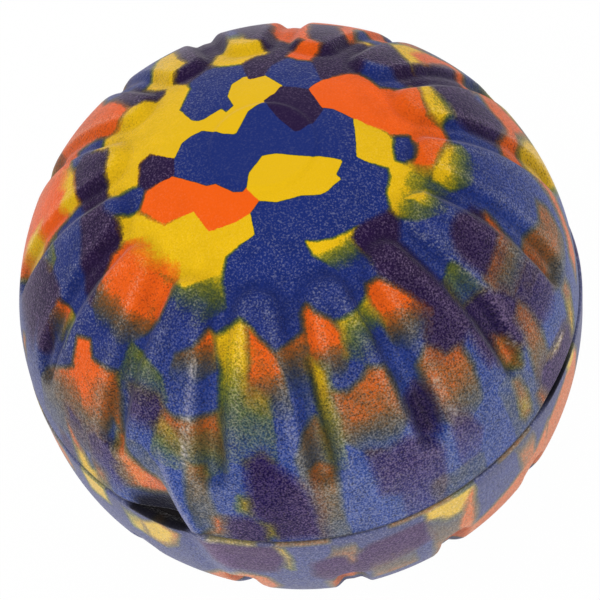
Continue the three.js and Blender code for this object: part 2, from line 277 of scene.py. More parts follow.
# Flakes on the upper sides, with outlines as (heading, angle from the pole)
SIDE_FLAKES = (
    ("purple", (-60, 27.5, -56, 26.5, -50, 27, -39.5, 29.5, -42, 32, -48, 34.3, -48.5, 48, -48, 56, -47, 66,
        -51, 66, -51.3, 57, -55, 57.5, -58.5, 57, -61, 54.5, -61, 51.5, -57.5, 49, -60, 40, -61.5, 36)),
    ("orange", (-128, 46.5, -123.5, 44, -120.5, 40, -118.5, 41, -118, 47, -124, 51, -128, 50), 41),
    ("yellow", (-110.3, 36.8, -107.8, 38.5, -107.8, 50, -104, 53, -103.5, 60, -104, 65, -114.5, 65, -115, 60,
        -115.3, 47, -118.5, 41), 43),
    ("orange", (-107.8, 38.3, -104.5, 40.5, -100, 44, -99, 47, -99, 56, -107.8, 53), 47),
    ("orange", (-100, 43.5, -93, 41.3, -90.5, 40, -90, 50, -96, 52, -100, 50), 40),
    ("orange", (-91, 40.5, -90.3, 37, -88.3, 35.2, -86.5, 37, -83, 39.3, -81.3, 42, -81.5, 47, -85, 51,
        -91.5, 51), 44),
    ("orange", (-93, 47, -90.5, 47.5, -90.6, 66, -92, 69, -93.5, 60), (80, 81)),
    ("yellow", (-90.9, 46, -88.3, 48.5, -88.5, 60, -89.5, 69, -90.8, 67, -91.2, 56), 53),
    ("yellow", (-80.5, 40.5, -74, 40, -74, 47, -77, 49, -80.5, 47), 38),
    ("yellow", (-73, 40, -68.5, 39, -68.5, 44, -72, 46), 38),
    ("orange", (-68.5, 38.5, -66.5, 36.7, -63, 36.7, -61.5, 38.5, -58.5, 43, -56, 48, -60, 51, -64, 52,
        -68, 49), 43),
    ("orange", (-88, 53, -84, 54, -79.5, 52.5, -77.5, 51, -74, 52, -73.6, 57, -74, 64, -78, 67, -83, 67,
        -87.5, 63), 60),
    ("orange", (-66, 55.5, -62, 53, -60.5, 54.5, -59, 57, -55, 57.5, -54.8, 63, -57, 70, -61, 72, -65, 69,
        -65.5, 62), 64),
    ("orange", (-130, 57.5, -126, 59, -122, 58.5, -116.3, 56.5, -115.5, 60, -115, 66, -118, 69, -123, 67,
        -127, 64), 60),
    ("yellow", (-121, 61, -115.3, 62, -114.3, 68, -118, 70, -121, 69), (80, 81)),
    ("yellow", (-130, 59, -127, 61.5, -124.5, 64, -125, 69, -130, 68), 60),
    ("purple", (-109.5, 66, -106, 64, -103.5, 66.5, -98.5, 72, -97, 76, -96.5, 88, -105, 88, -107, 83,
        -109.5, 80)),
    ("orange", (-98, 66, -96, 61, -93, 58, -91.5, 64, -92, 72, -97, 72), 57),
    ("orange", (-96.7, 69, -94, 68, -91.5, 70, -92.5, 80, -92, 92, -95.5, 92, -96, 80), 70),
    ("orange", (-118.5, 82, -116.5, 81.5, -115.7, 85, -117, 88, -120.5, 89, -118.5, 86)),
    ("orange", (-122.5, 68, -119.5, 69, -118.5, 78, -117.5, 84, -121, 86, -122.5, 78), 67),
    ("yellow", (-111.5, 75, -109.8, 76, -110.5, 79, -112, 78.5)),
    ("yellow", (-107.8, 83, -106.2, 83.5, -106, 86.5, -107.3, 87)),
    ("purple", (-115, 81.5, -110, 81, -107.5, 84, -108, 91, -114.5, 91, -116, 85)),
    ("purple", (-72, 61, -68.5, 58.5, -66.3, 62, -66.5, 67, -68, 71, -71, 71.5, -72.5, 68)),
    ("purple", (-83.5, 68, -79, 69.5, -75, 68.5, -70, 70.5, -69, 75, -70.5, 84, -73, 91, -78, 91, -78.5, 81,
        -82.5, 79), 75),
    ("purple", (-64.5, 69, -61.5, 71, -59.5, 77, -62, 82, -64.5, 82), 73),
    ("orange", (-71.5, 84, -61.5, 84.5, -62, 91, -71, 91), (96, 97)),
    ("yellow", (-16, 34.5, -10, 36, -5, 37.5, -4.5, 41, -9, 44, -15, 43, -19.5, 39.5, -19, 35.5), 37.5),
    ("yellow", (-33, 29, -27, 33, -23.5, 34, -23.5, 38, -28, 39, -32, 35), 33),
    ("purple", (-38, 44, -35, 42, -32, 41.3, -28, 41.8, -24.5, 44.5, -22.5, 45, -22, 48.5, -25.5, 53,
        -37.5, 53.5, -39, 47)),
    ("yellow", (-46.5, 46.5, -42, 45.5, -41.5, 51, -42.5, 56, -47.5, 56, -47.5, 50), 36),
    ("orange", (-38.5, 53, -25.5, 52, -23, 48.5, -21.5, 48.3, -24.5, 57, -25, 63, -33, 64, -38, 59), 51),
    ("purple", (-49, 53, -41, 54, -37, 58, -36, 63, -41, 70, -45, 65, -49, 68, -50, 58)),
    ("purple", (-35.5, 61, -26, 60.5, -25, 64, -25.5, 71, -29, 73, -34, 71), 70),
    ("orange", (-45.5, 63, -43.4, 65.5, -42.6, 70, -44, 73.5, -46.9, 71, -46.6, 67)),
    ("yellow", (-45, 66.5, -44.2, 68, -43.8, 70.5, -44.8, 71.5, -45.6, 70), (84, 85)),
    ("orange", (-38.8, 64, -36, 62.8, -35, 66, -35.3, 72, -36.5, 80, -39, 84, -41.5, 82, -40, 72), 73),
    ("orange", (-51, 73, -48.5, 73, -44.5, 76, -43, 90, -50, 90), (100, 101)),
    ("orange", (-47.8, 74, -46.2, 75, -45.5, 80, -46, 87, -47.5, 88, -48.5, 84), 85),
    ("yellow", (-47.5, 81, -46.7, 81, -46.7, 84, -47.6, 84)),
    ("orange", (-24.5, 60.5, -20.5, 60, -14.5, 62.5, -9.5, 62, -8.8, 65, -12, 72, -20, 75, -24, 72), 69),
    ("orange", (0.5, 54, 5, 54, 9, 57, 12, 56.5, 16, 55.5, 28, 57, 28, 62, 20, 65, 14, 70, 10, 62, 7, 61,
        4, 61, 1, 64, -1, 70, -5, 76, -8, 84, -14, 84, -13, 77, -9, 74, -4, 67, -1, 61)),
    ("yellow", (0, 67, 2.5, 63, 6, 61, 8.5, 62, 12, 66.5, 14, 74, 4, 78, 0, 72)),
    ("purple", (3, 53, 5, 46, 8, 42.5, 14, 43, 20, 41.5, 32, 42, 32, 56, 18, 52.5, 12, 56.5, 10, 57,
        5, 53.5)),
    ("purple", (-40, 80, -36, 80, -28, 80, -24, 84, -26, 91, -40, 91, -42, 86)),
    ("orange", (-43, 84, -41.5, 84, -40, 89, -42.5, 89.5)),
    ("orange", (-22.8, 75, -20.3, 75.5, -20, 79, -22, 83, -24, 82), 80),
    ("yellow", (-23.5, 79, -21.5, 80, -22.5, 85, -24, 88, -25.8, 87, -24.8, 83)),
    ("yellow", (-35, 81, -32, 80.6, -28.8, 82, -32, 82.4)),
    ("orange", (-215, 50, -206, 47.5, -203, 45.5, -196, 43.5, -191.5, 43.3, -189.7, 47, -188.2, 60, -188, 67,
        -192, 74, -200, 82, -215, 85)),
    ("yellow", (-206, 47.5, -202, 45, -196, 43.5, -191.5, 43.3, -190, 46, -193, 49, -198, 47, -203, 52,
        -206, 53), 46),
    ("yellow", (-196, 57, -189, 55.5, -188.2, 66, -190, 72, -195, 70), (60, 64)),
    ("purple", (-188, 56, -184, 56, -179, 53.5, -172, 53, -169, 54.5, -170, 59, -173, 62.5, -172, 71,
        -175, 73, -182, 72, -188, 68), 68),
    ("yellow", (-187.5, 52.5, -180, 51.5, -179, 54, -184, 57, -187.5, 57), 47),
    ("purple", (-176, 55, -171, 54.5, -169.5, 60, -167, 66, -170, 69, -173, 64)),
    ("blue", (-172, 67.5, -168, 66.5, -165.5, 69, -167, 73, -171, 72)),
    ("orange", (-169.5, 55, -165.5, 54, -165, 61, -166, 64, -169, 63), 53),
    ("yellow", (-165, 54, -162, 54, -161.5, 60, -164, 61), 51),
    ("orange", (-154.5, 60.5, -149, 62, -145, 70, -146, 77, -150, 80, -154, 78, -160, 84, -164, 82, -166, 72,
        -160, 65.5), 61),
    ("orange", (-158, 55.5, -154, 53.5, -151.5, 56.5, -144.5, 56, -142, 61, -140, 69, -143.3, 66.5,
        -144.5, 72, -147, 74, -150, 70, -153, 64, -156.5, 60.5), 67),
    ("purple", (-172, 64, -170, 63, -166.5, 66, -168, 68.5, -171, 67.5)),
    ("purple", (-140, 57, -136, 55.5, -131, 55.5, -129.5, 58, -131, 63, -138, 64), 61),
    ("yellow", (-142.5, 49, -136, 50, -131.5, 52, -129.5, 56, -137, 58, -142.5, 57), 42),
    ("orange", (-141.2, 69.5, -139, 68.5, -137, 72, -133.5, 74.5, -129, 76, -127.5, 80, -130, 82.5,
        -133, 83.5, -138, 83, -140.2, 76)),
    ("yellow", (-140.6, 71, -138.6, 72, -135.5, 75.5, -134.5, 78, -136.5, 80.5, -138.8, 80,
        -140, 75), (84, 85)),
    ("orange", (-138, 69, -134, 69, -130, 72.5, -127.5, 77, -130, 78, -134, 73.5), (84, 85)),
    ("purple", (-146.5, 72, -143, 73, -140, 77, -138.5, 82, -142, 86, -147, 82, -148.5, 74), 76),
    ("purple", (-155, 72, -151, 72.5, -149.5, 76, -150.5, 81, -154, 78), 74),
    ("orange", (-156, 76, -153.5, 78, -151, 81.5, -150, 85, -153, 85, -154.5, 81)),
    ("yellow", (-153.5, 83, -150.5, 82.5, -149, 86, -146.5, 85.5, -146, 90, -153, 90)),
    ("orange", (-147.5, 82, -145, 83.5, -144, 90, -146, 90), 85),
    ("purple", (-159, 83, -156, 83.5, -154.5, 91, -158.5, 91), 85),
    ("orange", (-179, 75, -177, 73.5, -175.8, 80, -178, 81), 76),
)

# Flakes seen below the seam, as (heading, angle from the lower pole)
LOW_FLAKES = (
    ("orange", (-126, 68, -120, 74, -116, 76, -110.5, 74, -109, 68, -112, 60, -124, 60)),
    ("orange", (-98, 70, -93, 71.5, -91, 69, -92, 62, -98, 62)),
    ("orange", (-74, 72, -64, 72, -58, 74.5, -52, 77, -46, 79, -41, 84, -40, 64, -60, 60, -74, 60)),
    ("orange", (-41, 82.5, -36, 85, -30, 87.5, -25.5, 88, -23.5, 84, -24, 72, -34, 62, -45, 68)),
    ("yellow", (-153, 89.5, -146, 89.5, -146, 84, -152, 83)),
    ("yellow", (-141, 89, -136.8, 88.5, -136.5, 80.5, -140, 80.5), 84),
    ("orange", (-136, 86, -131.5, 89.5, -127.5, 87.5, -129, 82, -132.5, 78.5, -136, 80)),
    ("yellow", (-136.3, 86, -132, 89.2, -128.4, 87.3, -130, 82, -133, 79.6, -136, 80.6)),
    ("purple", (-122, 88.5, -107, 88.8, -105.5, 84, -108, 78, -113, 77, -117, 78, -120.5, 81)),
    ("yellow", (-106.5, 88.5, -105.2, 88, -104.2, 84, -104.7, 79, -105.3, 80, -105, 84.5)),
    ("purple", (-100, 81, -95, 83.5, -91, 82, -88, 85, -80, 86.5, -76, 86, -75.5, 78, -80, 76, -88, 74,
        -92, 72, -98, 72, -100.5, 75)),
    ("orange", (-94.5, 88.5, -91.5, 88.5, -91, 84, -92, 79.5, -93, 83, -95.5, 84), 82),
    ("orange", (-88, 78, -80, 77, -79, 68, -88, 67), 66),
    ("orange", (-74.5, 87, -71, 86, -67, 86, -67, 68, -74, 68), 68),
    ("yellow", (-75.5, 89, -64.5, 89, -64.2, 86, -66, 83, -67, 82.3, -71, 82.5, -73, 85, -75.5, 86)),
    ("orange", (-66.5, 84, -64.5, 88, -64.2, 80, -64.6, 68, -69, 68, -69, 77, -67.5, 81.5)),
    ("orange", (-52, 89.5, -48, 89.5, -46.5, 84, -46, 70, -50, 70, -51, 82), 82),
    ("yellow", (-31, 89, -26, 89.3, -26.5, 86, -30, 86)),
    ("yellow", (-120, 91, -111, 91, -111, 89.5, -120, 89.5)),
    ("orange", (-106, 91, -96, 91, -96, 89.5, -106, 89.5)),
    ("orange", (-83, 91, -70, 91, -70, 89.6, -83, 89.6)),
    ("orange", (-57, 91, -48, 91, -48, 89.6, -57, 89.6)),
)

# Pale lines, partly worn mould lines and partly painted highlight along lobe crests: first (heading, angle),
# last (heading, angle), strength
PALE_LINES = (
    ((-123, 47), (-123.5, 69), 0.85),
    ((-40.5, 33), (-40.5, 60), 0.4),
    ((-40.5, 60), (-42.5, 68), 0.5),
    ((-99, 57), (-98, 76), 0.25),
    ((-64, 60), (-63, 78), 0.35),
    ((-148.5, 41), (-141.5, 50), 0.12),
    ((-140.5, 50), (-140, 62), 0.3),
    ((-34.5, 81.1), (-29.5, 81.9), 1.4),
)

# Creases and groove walls darkened with painted shade, in the same form
SHADED_CREASES = (
    ((-91.9, 46), (-91.2, 67), 0.6),
    ((-139.5, 69), (-134, 74), 0.45),
    ((-134, 74), (-129.5, 78), 0.4),
    ((-115.8, 42), (-115.2, 58), 0.3),
    ((-115.6, 62), (-115, 69), 0.4),
    ((-73.3, 44), (-73, 58), 0.35),
    ((-69.5, 61), (-69, 70), 0.5),
    ((-47.8, 56), (-47.2, 72), 0.4),
    ((-142, 52), (-141, 66), 0.35),
)


def smooth(value, low, high):
    """0 below low, 1 above high, and an even rise between."""
    share = np.clip((value - low) / (high - low), 0, 1)
    return share * share * (3 - 2 * share)


def window(value, rise, fall):
    """1 between a rise and a fall, each given by its two ends, and 0 outside."""
    return smooth(value, *rise) * (1 - smooth(value, *fall))


def steps(value, rises):
    """Sum of rises, each an amount and the two ends between which it comes in."""
    return sum(amount * smooth(value, low, high) for amount, low, high in rises)


def bell(value, middle, width):
    """1 at the middle, and close to 0 from two widths away."""
    return np.exp(-(((value - middle) / width) ** 2))


def sine(degrees):
    return np.sin(np.radians(degrees))


def cosine(degrees):
    return np.cos(np.radians(degrees))


def arc(degrees):
    """Length over the plain ball, in millimetres."""
    return BALL_RADIUS * np.radians(degrees)


def turn_between(heading, middle):
    """Signed turn from middle to heading, in degrees, the short way round."""
    return (heading - middle + 180) % 360 - 180


def sector(heading, rise, fall):
    """1 over some headings and 0 elsewhere: a rise and a fall, each its first heading and its length."""
    since_rise, since_fall = turn_between(heading, rise[0]), turn_between(heading, fall[0])
    return smooth(since_rise, 0, rise[1]) * (1 - smooth(since_fall, 0, fall[1]))


def waves(seed, angle, heading, size):
    """A slow seeded unevenness of a sphere's face, about -1 to 1, with humps of a size in degrees."""
    rng = np.random.default_rng(seed)
    east, north, up = sine(angle) * cosine(heading), sine(angle) * sine(heading), cosine(angle)
    total = np.zeros(np.broadcast(angle, heading).shape)
    for _ in range(WAVE_COUNT):
        direction = rng.normal(size=3)
        direction *= math.pi / math.radians(size) / np.linalg.norm(direction)
        along = direction[0] * east + direction[1] * north + direction[2] * up
        total = total + np.sin(along + rng.uniform(0, WAVE_PHASE))
    return total / math.sqrt(WAVE_COUNT)


def inside_lobe(angle, heading):
    """Distance into the nearest lobe from the middle of its wall, in millimetres, negative outside."""
    pitch = 360 / LOBE_COUNT
    from_groove = np.abs((heading - GROOVE_HEADING + pitch / 2) % pitch - pitch / 2)
    across = sine(angle) * arc(from_groove)
    from_crest = sine(angle) * arc(pitch) / 2 - across
    along = arc(angle)
    head_centre = arc(LOBE_HEAD_ANGLE)
    head_round = sine(LOBE_HEAD_ANGLE) * arc(pitch) / 2 - GROOVE_WIDTH / 2
    past_groove = np.maximum(0, along - arc(GROOVE_END_ANGLE) + GROOVE_WIDTH / 2)
    in_head = head_round - np.hypot(from_crest, head_centre - along)
    off_groove = np.hypot(across, past_groove) - GROOVE_WIDTH / 2
    return np.where(along < head_centre, in_head, off_groove)


def relief(angle, heading):
    """How far the moulded face stands off the plain ball, in millimetres."""
    inside = inside_lobe(angle, heading)
    fade = 1 - smooth(angle, *FADE_ANGLES)
    lobe = smooth(inside, -WALL_SLOPE / 2, WALL_SLOPE / 2)
    trench = TRENCH_DEPTH * bell(inside, -WALL_SLOPE / 2, TRENCH_WIDTH) * fade
    filled = GROOVE_FILL * window(angle, (38, 44), (55, 62))
    return (GROOVE_DEPTH + LOBE_RISE * fade) * (lobe + filled * (1 - lobe)) - GROOVE_DEPTH - trench


def ridge_side(angle, heading):
    """Millimetres left of the ridge that bounds the dent at the seam."""
    ridge_heading = RIDGE_START[0] + RIDGE_LEAN * (angle - RIDGE_START[1])
    return -sine(angle) * arc(turn_between(heading, ridge_heading))


def dent(angle, heading):
    """How deep the upper cover is pushed in beside the ridge, 0 to 1."""
    return window(ridge_side(angle, heading), (0.0, 2.2), (3.5, 14)) * smooth(angle, *DENT_ANGLES)


def ridge(angle, heading):
    """The swollen edge right of the dent, 0 to 1."""
    return bell(ridge_side(angle, heading), -0.9, 1.2) * smooth(angle, 60, 72)


def pocket(angle, heading):
    """The hollow under the dent where shade is painted, 0 to 1: soft above, sharp along the ridge."""
    left = ridge_side(angle, heading)
    brow = POCKET_BROW + POCKET_BROW_SLOPE * np.clip(left, 0, POCKET_BROW_REACH)
    return smooth(angle - brow, -2.5, 3) * window(left, (0.2, 1.2), (9.5, 12.5))


def low_fold(angle, heading):
    """The fold that runs on from the dent over the lower cover: swollen on its right, sunk on its left."""
    right = arc(turn_between(heading, FOLD_START[0] + FOLD_LEAN * (angle - FOLD_START[1])))
    swell = bell(right, 1.5, 2.0) - FOLD_SINK_SHARE * bell(right, -1.8, 1.8)
    return swell * smooth(angle, 64, 76)


def lines_at(lines, width, angle, heading):
    """Strength of the nearest drawn line, which falls off over a width in millimetres."""
    total = np.zeros(np.broadcast(angle, heading).shape)
    for first, last, strength in lines:
        shrink = sine((first[1] + last[1]) / 2)
        right, down = shrink * turn_between(heading, first[0]), angle - first[1]
        run, fall = shrink * (last[0] - first[0]), last[1] - first[1]
        share = np.clip((right * run + down * fall) / (run ** 2 + fall ** 2), 0, 1)
        off = arc(np.hypot(right - share * run, down - share * fall))
        total = np.maximum(total, strength * bell(off, 0, width))
    return total


def face_radius(angle, heading, upper):
    """Distance of a cover's outer face from the ball's centre, in millimetres."""
    wave = FOAM_WAVE * waves(FOAM_WAVE_SEED[upper], angle, heading, FOAM_WAVE_SIZE)
    radius = BALL_RADIUS + relief(angle, heading) + wave * smooth(angle, 12, 24)
    if upper:
        radius = radius - DENT_DEPTH * dent(angle, heading) + RIDGE_RISE * ridge(angle, heading)
    else:
        lip = LOWER_LIP_PROUD * smooth(angle, 84, 89)
        radius = radius + lip + FOLD_RISE * low_fold(angle, heading)
    pad = PAD_HEIGHT / cosine(np.minimum(angle, PAD_LIMIT))
    return pad + (radius - pad) * smooth(BALL_RADIUS * sine(angle), *PAD_ROUND)


def rim_height(heading, upper):
    """Height of a cover's rim over the seam plane, in millimetres."""
    wave = waves(RIM_WAVE_SEED[upper], SEAM_ANGLE, heading, RIM_WAVE_SIZE)
    height = SEAM_HALF + RIM_WAVE[upper] * wave
    if upper:
        deepest = dent(np.full_like(heading, DENT_ANGLES[1]), heading)
        height = height + GAPE_LIFT * sector(heading, *GAPE_HEADINGS) + DENT_LIFT * deepest
    return height


def ring_count(angle):
    """Vertices round a cover at an angle from its pole."""
    return next(count for limit, count in COUNT_STEPS if angle < limit)


def ring_headings(count):
    return GROOVE_HEADING + np.arange(count) * 360 / count


def cover_rings(upper):
    """Rings of a cover from outer pole over rim to inner pole: radius, height, angle and heading."""
    rings = []
    angles = np.arange(RING_STEP * 2, SEAM_ANGLE, RING_STEP)
    lip_round = LIP_ROUND[upper]
    for nominal in angles:
        heading = ring_headings(ring_count(nominal))
        angle = np.full_like(heading, nominal)
        if nominal > BEND_ANGLE:
            end = np.degrees(np.arccos((rim_height(heading, upper) + lip_round) / BALL_RADIUS))
            bent = (nominal - BEND_ANGLE) / (angles[-1] - BEND_ANGLE)
            angle = BEND_ANGLE + (end - BEND_ANGLE) * bent
        face = face_radius(angle, heading, upper)
        rings.append((face * sine(angle), face * cosine(angle), angle, heading))
    radius, height, _, heading = rings[-1]
    edge = np.full_like(heading, EDGE_ANGLE)
    for turn in LIP_TURNS:
        inwards, down = lip_round * (1 - cosine(turn)), lip_round * sine(turn)
        rings.append((radius - inwards, height - down, edge, heading))
    rim_radius, rim = rings[-1][:2]
    lip = np.minimum(LIP_INNER, rim_radius - LIP_FLAT)
    slot = np.maximum(SLOT_HALF, rim + SLOT_STEP)
    rings += [(lip, rim, edge, heading), (lip, slot, edge, heading)]
    heading = ring_headings(FINE_COUNT // 2)
    inner = np.full_like(heading, COVER_INNER)
    rings.append((inner, slot[::2], np.full_like(heading, EDGE_ANGLE), heading))
    start = np.degrees(np.arcsin(SLOT_HALF / COVER_INNER))
    for lift in np.arange(start + INNER_STEP, INNER_END, INNER_STEP):
        angle = SEAM_ANGLE - lift
        heading = ring_headings(max(ring_count(angle) // 4, FINE_COUNT // 8))
        inner = np.full_like(heading, COVER_INNER)
        rings.append((inner * cosine(lift), inner * sine(lift), np.full_like(heading, angle), heading))
    return rings


def strip(first, first_count, second, second_count):
    """Faces between two neighbouring rings of the same count, or of one count and a multiple of it."""
    if first_count > second_count:
        return [face[::-1] for face in strip(second, second_count, first, first_count)]
    faces = []
    step = second_count // first_count
    half = step // 2
    for i in range(first_count):
        left, right = first + i, first + (i + 1) % first_count
        fan = [second + (i * step + k) % second_count for k in range(step + 1)]
        if step == 1:
            faces.append((left, *fan, right))
        else:
            faces += [(left if k < half else right, fan[k], fan[k + 1]) for k in range(step)]
            faces.append((left, fan[half], right))
    return faces


def signed_depth(right, up, outline):
    """Depth of points inside a closed outline, negative outside."""
    inside = np.zeros(right.shape, bool)
    nearest = np.full(right.shape, np.inf)
    for (ax, ay), (bx, by) in zip(outline, np.roll(outline, -1, axis=0)):
        across, along = bx - ax, by - ay
        share = ((right - ax) * across + (up - ay) * along) / (across ** 2 + along ** 2)
        share = np.clip(share, 0, 1)
        nearest = np.minimum(nearest, np.hypot(right - ax - share * across, up - ay - share * along))
        crosses = (ay > up) != (by > up)
        inside ^= crosses & (right < ax + (up - ay) * across / (along or TINY))
    return np.where(inside, nearest, -nearest)


class Marbling:
    """Colour fields of a cover: how deep each vertex lies inside each colour, in millimetres."""

    def __init__(self, angle, heading):
        self.angle = angle
        self.heading = heading
        self.fields = np.full((len(COLOURS), len(angle)), -FIELD_REACH)
        self.fields[0] = FIELD_REACH

    def cap_flake(self, colour, outline, fades=None):
        """A flake whose outline is in degrees to the right and to the back of the pole."""
        points = np.reshape(outline, (-1, 2))
        right, back = self.angle * cosine(self.heading), self.angle * sine(self.heading)
        self.paint(colour, fades, right, back, points, np.hypot(*points.T))

    def side_flake(self, colour, outline, fades=None):
        """A flake whose outline is in headings and angles from the pole."""
        headings, angles = np.reshape(outline, (-1, 2)).T
        middle = headings.mean()
        right = turn_between(self.heading, middle) * sine(self.angle)
        points = np.stack((turn_between(headings, middle) * sine(angles), angles), axis=1)
        self.paint(colour, fades, right, self.angle, points, angles)

    def paint(self, colour, fades, right, up, points, reach):
        """Lay a flake over the others, feathered between its fades and the ends of its reach."""
        points, right, up = arc(points), arc(right), arc(up)
        low, high = points.min(0) - FIELD_REACH, points.max(0) + FIELD_REACH
        near = np.flatnonzero((right > low[0]) & (right < high[0]) & (up > low[1]) & (up < high[1]))
        depth = signed_depth(right[near], up[near], points) + FLAKE_OVERLAP
        brow, tail = fades if isinstance(fades, tuple) else (None, fades)
        for full, bare in ((brow, min(reach)), (tail, max(reach))):
            if full is not None:
                share = np.clip((self.angle[near] - full) / (bare - full), 0, 1)
                depth = np.minimum(depth, TAIL_DEPTH * (1 - 2 * share))
        for field, name in zip(self.fields, COLOURS):
            if name == colour:
                field[near] = np.maximum(field[near], depth)
            else:
                field[near] = np.minimum(field[near], -depth)


def scatter_sides(marbling, rng, headings, angles, count):
    """Random drawn-out flakes over a part of a cover that the photograph doesn't show."""
    for _ in range(count):
        angle = rng.uniform(*angles)
        height = rng.uniform(12, 22)
        half = rng.uniform(3, 7) / sine(angle)
        left = rng.uniform(*headings)
        right = left + 2 * half
        peak = left + half * rng.uniform(0.5, 1.5)
        lean = rng.uniform(-3, 3)
        waist = WAIST_LEAN * lean
        drop = angle + height * rng.uniform(*SIDE_DROPS)
        foot = peak + lean
        outline = (
            (left, drop[0]), (peak, angle), (right, drop[1]), (right + waist, drop[2]),
            (foot + FOOT_RIGHT * half, angle + height), (foot - FOOT_LEFT * half, drop[3]),
            (left + waist, drop[4]))
        colour = rng.choice(COLOURS, p=SIDE_SHARES)
        marbling.side_flake(colour, outline, angle + height * rng.uniform(0.35, 0.7))


def scatter_cap(marbling, rng):
    """Random crisp flakes over the cap that the photograph doesn't show."""
    for _ in range(CAP_COUNT):
        distance, heading = CAP_REACH * math.sqrt(rng.uniform()), rng.uniform(0, 2 * math.pi)
        middle = np.array((distance * math.cos(heading), distance * math.sin(heading)))
        corners = rng.integers(6, 9)
        turns = np.sort(rng.uniform(0, 2 * math.pi, corners))
        spans = rng.uniform(3.5, 7, corners)
        rays = np.stack((np.cos(turns), np.sin(turns)), axis=1)
        outline = middle + spans[:, None] * rays
        marbling.cap_flake(rng.choice(COLOURS, p=CAP_SHARES), outline)


def marble(angle, heading, upper):
    """Depths of purple, orange and yellow over blue at each vertex."""
    marbling = Marbling(angle, heading)
    rng = np.random.default_rng(MARBLE_SEED[upper])
    for unseen in UNSEEN_UPPER if upper else UNSEEN_LOWER:
        scatter_sides(marbling, rng, *unseen)
    if upper:
        for flake in CAP_FLAKES:
            marbling.cap_flake(*flake)
    else:
        scatter_cap(marbling, rng)
    for flake in SIDE_FLAKES if upper else LOW_FLAKES:
        marbling.side_flake(*flake)
    return (marbling.fields[1:] - marbling.fields[0]).T


def zones(angle, heading, upper):
    """Per vertex: paleness as a share of white, from painted glints and sheen of the grain with some wear;
    grit of the drawn-out skin; and painted shade.
    """
    inside = inside_lobe(angle, heading)
    fade = 1 - smooth(angle, *FADE_ANGLES)
    foot = bell(inside, -0.6, 1.2) * fade
    # Paler crests: painted glints, with some wear.
    crest = bell(inside, 1.4, 1.0) * fade * smooth(angle, 26, 40)
    # Paleness: painted glints and sheen of the foam grain, with some wear; less of it at the lobe feet.
    glints_and_wear = GLINTS_AND_WEAR_BASE + steps(angle, GLINTS_AND_WEAR_STEPS) + CREST_GLINTS_AND_WEAR * crest
    glints_and_wear = glints_and_wear * (1 - FOOT_SHELTER * foot)
    grit = smooth(angle, 9, 36)
    # Painted shade at the foot of the lobe walls, round the lobe heads and at the lower ends of the grooves.
    painted_shade = foot * steps(angle, FOOT_SHADE_STEPS)
    if upper:
        side = ridge_side(angle, heading)
        left = sector(heading, (-215, 15), (-155, 15)) * smooth(angle, 34, 56)
        grit = grit + np.interp(angle, LOW_GRIT_ANGLES, (0, LOW_GRIT)) - LEFT_GRIT * left
        # Pale specks along lines: in part worn mould lines, in part a painted highlight along lobe crests.
        dots = np.random.default_rng(LINE_SEED).uniform(size=len(angle)) ** 3
        lines = dots * lines_at(PALE_LINES, LINE_WIDTH, angle, heading)
        # A painted highlight along the ridge right of the dent.
        glint = bell(side, -0.5, 0.5) * smooth(angle, 64, 74)
        glints_and_wear = glints_and_wear + LINE_GLINTS_AND_WEAR * lines + RIDGE_HIGHLIGHT * glint
        calm = bell(turn_between(heading, CALM_HEADING), 0, 8) * smooth(angle, 60, 68)
        flank = bell(side, -2.6, 1.4) * smooth(angle, 68, 76)
        glints_and_wear = glints_and_wear * (1 - CALM_SHARE * calm) * (1 - CALM_SHARE * flank)
        # Painted shade in the pocket under the dent.
        in_pocket = POCKET_SHADING * pocket(angle, heading)
        # Painted shade along the upper rim, where the seam's shadow falls.
        on_rim = UPPER_RIM_SHADING * smooth(angle, 88.6, 89.4)
        # Painted shade in creases and on groove walls.
        creased = lines_at(SHADED_CREASES, CREASE_WIDTH, angle, heading)
        painted_shade = np.maximum.reduce((painted_shade, in_pocket, on_rim, creased))
    else:
        grit = grit + RIM_GRIT * (1 - smooth(angle, 82, 88))
        # Painted sheen on the lower cover towards the seam, as pale haze and specks.
        glints_and_wear = glints_and_wear + LOWER_PAINTED_SHEEN * smooth(angle, 45, 60)
        # Paler along the swollen side of the fold on the lower cover.
        glints_and_wear = glints_and_wear + FOLD_PALENESS * np.maximum(low_fold(angle, heading), 0)
        # Painted shade on the lower rim where the seam opens, at the pocket and at the right.
        opened = np.maximum(sector(heading, (-141, 3), (-126, 3)), sector(heading, *GAPE_HEADINGS))
        painted_shade = painted_shade + LOWER_RIM_SHADING * smooth(angle, 89.2, 89.4) * opened
    return np.stack((glints_and_wear, grit, np.clip(painted_shade, 0, 1)), axis=1)


def add_object(name, data):
    item = bpy.data.objects.new(name, data)
    bpy.context.scene.collection.objects.link(item)
    return item


